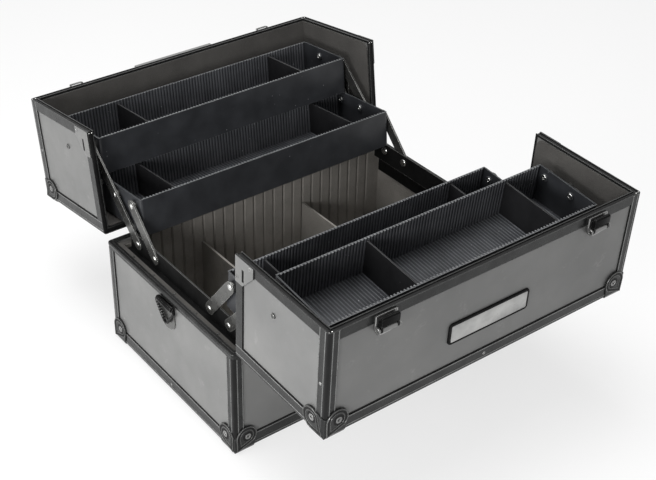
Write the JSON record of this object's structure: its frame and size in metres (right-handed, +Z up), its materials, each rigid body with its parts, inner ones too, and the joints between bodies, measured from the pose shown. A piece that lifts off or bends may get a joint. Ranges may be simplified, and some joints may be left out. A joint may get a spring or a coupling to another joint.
{
  "type": "carry case",
  "caption": "Oblong carry case that opens from the middle: two half lids swing outward and raise tiers of cantilever trays over a deep base.",
  "frame": {"origin": "middle of the base's underside, on the surface that the case stands on", "axes": "+Z up, +X to the right along the case seen from the front, +Y to the rear; the front lid carries the latches and swings to -Y, the rear lid carries the handle and swings to +Y"},
  "size_m": [0.4836, 0.6965, 0.3109],
  "materials": {
    "panel_grey": "satin grey faced board with a faint metallic sheen",
    "extrusion_black": "charcoal anodised extrusion, satin",
    "lining_brown": "dark grey-brown foam lining, matt",
    "divider_black": "black plastic sheet",
    "tray_black": "blue-black moulded plastic, fine grain",
    "arm_steel": "dark grey enamelled strip steel",
    "latch_black": "black, slightly glossy",
    "grip_black": "black moulded grip, matt",
    "fitting_steel": "dark nickel-plated steel"
  },
  "bodies": {
    "base": {"base_panels": "panel_grey", "base_frame": "extrusion_black", "base_rim": "extrusion_black", "base_lining": "lining_brown", "base_divider_left": "lining_brown", "base_divider_right": "lining_brown", "end_bracket_left": "arm_steel", "end_bracket_right": "arm_steel", "rear_hinge_base_leaf": "fitting_steel", "front_hinge_base_leaf": "fitting_steel", "strap_plate_left": "fitting_steel", "strap_plate_right": "fitting_steel"},
    "rear_lid": {"rear_lid_panels": "panel_grey", "rear_lid_frame": "extrusion_black", "rear_lid_lining": "lining_brown", "rear_hinge_lid_leaf": "fitting_steel", "catch_left": "fitting_steel", "catch_right": "fitting_steel", "handle_mount": "latch_black"},
    "rear_long_arms": {"rear_long_arm_left": "arm_steel", "rear_long_arm_right": "arm_steel"},
    "rear_short_arms": {"rear_short_arm_left": "arm_steel", "rear_short_arm_right": "arm_steel"},
    "rear_upper_short_arms": {"rear_upper_short_arm_left": "arm_steel", "rear_upper_short_arm_right": "arm_steel"},
    "rear_lid_links": {"rear_lid_link_left": "arm_steel", "rear_lid_link_right": "arm_steel"},
    "rear_lower_tray_set": {"rear_lower_tray": "tray_black", "rear_lower_divider_left": "divider_black", "rear_lower_divider_right": "divider_black"},
    "rear_upper_tray_set": {"rear_upper_tray": "tray_black", "rear_upper_divider_left": "divider_black", "rear_upper_divider_right": "divider_black"},
    "front_lid": {"front_lid_panels": "panel_grey", "front_lid_frame": "extrusion_black", "front_lid_lining": "lining_brown", "front_hinge_lid_leaf": "fitting_steel", "latch_plate_left": "latch_black", "latch_plate_right": "latch_black"},
    "front_long_arms": {"front_long_arm_left": "arm_steel", "front_long_arm_right": "arm_steel"},
    "front_short_arms": {"front_short_arm_left": "arm_steel", "front_short_arm_right": "arm_steel"},
    "front_upper_short_arms": {"front_upper_short_arm_left": "arm_steel", "front_upper_short_arm_right": "arm_steel"},
    "front_lid_links": {"front_lid_link_left": "arm_steel", "front_lid_link_right": "arm_steel"},
    "front_lower_tray_set": {"front_lower_tray": "tray_black", "front_lower_divider_left": "divider_black", "front_lower_divider_right": "divider_black"},
    "front_upper_tray_set": {"front_upper_tray": "tray_black", "front_upper_divider_left": "divider_black", "front_upper_divider_right": "divider_black"},
    "handle": {"handle_grip": "grip_black"},
    "latch_left": {"latch_lever_left": "latch_black"},
    "latch_right": {"latch_lever_right": "latch_black"},
    "strap_left": {"strap_ring_left": "fitting_steel"},
    "strap_right": {"strap_ring_right": "fitting_steel"}
  },
  "joints": [
    {"name": "rear_lid_hinge", "type": "hinge", "parent": "base", "child": "rear_lid", "pos_m": [0, 0.155, 0.1565], "axis": [1, 0, 0], "range_deg": [0, 98]},
    {"name": "rear_long_arm_pivot", "type": "hinge", "parent": "base", "child": "rear_long_arms", "pos_m": [0, 0.107, 0.1655], "axis": [1, 0, 0], "range_deg": [0, 85.5]},
    {"name": "rear_short_arm_pivot", "type": "hinge", "parent": "base", "child": "rear_short_arms", "pos_m": [0, 0.0648, 0.1655], "axis": [1, 0, 0], "range_deg": [0, 83.2]},
    {"name": "rear_lower_tray_pivot", "type": "hinge", "parent": "rear_long_arms", "child": "rear_lower_tray_set", "pos_m": [0, 0.16242, 0.21453], "axis": [1, 0, 0], "range_deg": [-79.5, 0]},
    {"name": "rear_upper_short_arm_pivot", "type": "hinge", "parent": "rear_lower_tray_set", "child": "rear_upper_short_arms", "pos_m": [0, 0.20718, 0.20983], "axis": [1, 0, 0], "range_deg": [0, 79.5]},
    {"name": "rear_upper_tray_pivot", "type": "hinge", "parent": "rear_long_arms", "child": "rear_upper_tray_set", "pos_m": [0, 0.21785, 0.26357], "axis": [1, 0, 0], "range_deg": [-79.5, 0]},
    {"name": "rear_lid_link_pivot", "type": "hinge", "parent": "rear_lid", "child": "rear_lid_links", "pos_m": [0, 0.2416, 0.25824], "axis": [1, 0, 0], "range_deg": [0, 4.96]},
    {"name": "front_lid_hinge", "type": "hinge", "parent": "base", "child": "front_lid", "pos_m": [0, -0.155, 0.1565], "axis": [-1, 0, 0], "range_deg": [0, 92]},
    {"name": "front_long_arm_pivot", "type": "hinge", "parent": "base", "child": "front_long_arms", "pos_m": [0, -0.107, 0.1655], "axis": [-1, 0, 0], "range_deg": [0, 79]},
    {"name": "front_short_arm_pivot", "type": "hinge", "parent": "base", "child": "front_short_arms", "pos_m": [0, -0.0648, 0.1655], "axis": [-1, 0, 0], "range_deg": [0, 77]},
    {"name": "front_lower_tray_pivot", "type": "hinge", "parent": "front_long_arms", "child": "front_lower_tray_set", "pos_m": [0, -0.15652, 0.22049], "axis": [-1, 0, 0], "range_deg": [-73, 0]},
    {"name": "front_upper_short_arm_pivot", "type": "hinge", "parent": "front_lower_tray_set", "child": "front_upper_short_arms", "pos_m": [0, -0.20127, 0.21579], "axis": [-1, 0, 0], "range_deg": [0, 73]},
    {"name": "front_upper_tray_pivot", "type": "hinge", "parent": "front_long_arms", "child": "front_upper_tray_set", "pos_m": [0, -0.20603, 0.27549], "axis": [-1, 0, 0], "range_deg": [-73, 0]},
    {"name": "front_lid_link_pivot", "type": "hinge", "parent": "front_lid", "child": "front_lid_links", "pos_m": [0, -0.23049, 0.26673], "axis": [-1, 0, 0], "range_deg": [0, 6.31]},
    {"name": "handle_swing", "type": "hinge", "parent": "rear_lid", "child": "handle", "pos_m": [0, 0.35147, 0.27329], "axis": [1, 0, 0], "range_deg": [0, 95]},
    {"name": "latch_left_swing", "type": "hinge", "parent": "front_lid", "child": "latch_left", "pos_m": [-0.16, -0.33569, 0.28477], "axis": [1, 0, 0], "range_deg": [0, 120]},
    {"name": "latch_right_swing", "type": "hinge", "parent": "front_lid", "child": "latch_right", "pos_m": [0.16, -0.33569, 0.28477], "axis": [1, 0, 0], "range_deg": [0, 120]},
    {"name": "strap_ring_left_swing", "type": "hinge", "parent": "base", "child": "strap_left", "pos_m": [-0.2378, 0, 0.145], "axis": [0, 1, 0], "range_deg": [0, 170]},
    {"name": "strap_ring_right_swing", "type": "hinge", "parent": "base", "child": "strap_right", "pos_m": [0.2378, 0, 0.145], "axis": [0, -1, 0], "range_deg": [0, 170]}
  ],
  "couplings": [
    {"joint": "rear_long_arm_pivot", "follows": "rear_lid_hinge", "ratio": 0.87244},
    {"joint": "rear_short_arm_pivot", "follows": "rear_lid_hinge", "ratio": 0.84897},
    {"joint": "rear_lower_tray_pivot", "follows": "rear_lid_hinge", "ratio": -0.81122},
    {"joint": "rear_upper_short_arm_pivot", "follows": "rear_lid_hinge", "ratio": 0.81122},
    {"joint": "rear_upper_tray_pivot", "follows": "rear_lid_hinge", "ratio": -0.81122},
    {"joint": "rear_lid_link_pivot", "follows": "rear_lid_hinge", "ratio": 0.05061},
    {"joint": "front_long_arm_pivot", "follows": "front_lid_hinge", "ratio": 0.85869},
    {"joint": "front_short_arm_pivot", "follows": "front_lid_hinge", "ratio": 0.83695},
    {"joint": "front_lower_tray_pivot", "follows": "front_lid_hinge", "ratio": -0.79347},
    {"joint": "front_upper_short_arm_pivot", "follows": "front_lid_hinge", "ratio": 0.79347},
    {"joint": "front_upper_tray_pivot", "follows": "front_lid_hinge", "ratio": -0.79347},
    {"joint": "front_lid_link_pivot", "follows": "front_lid_hinge", "ratio": 0.06858}
  ]
}
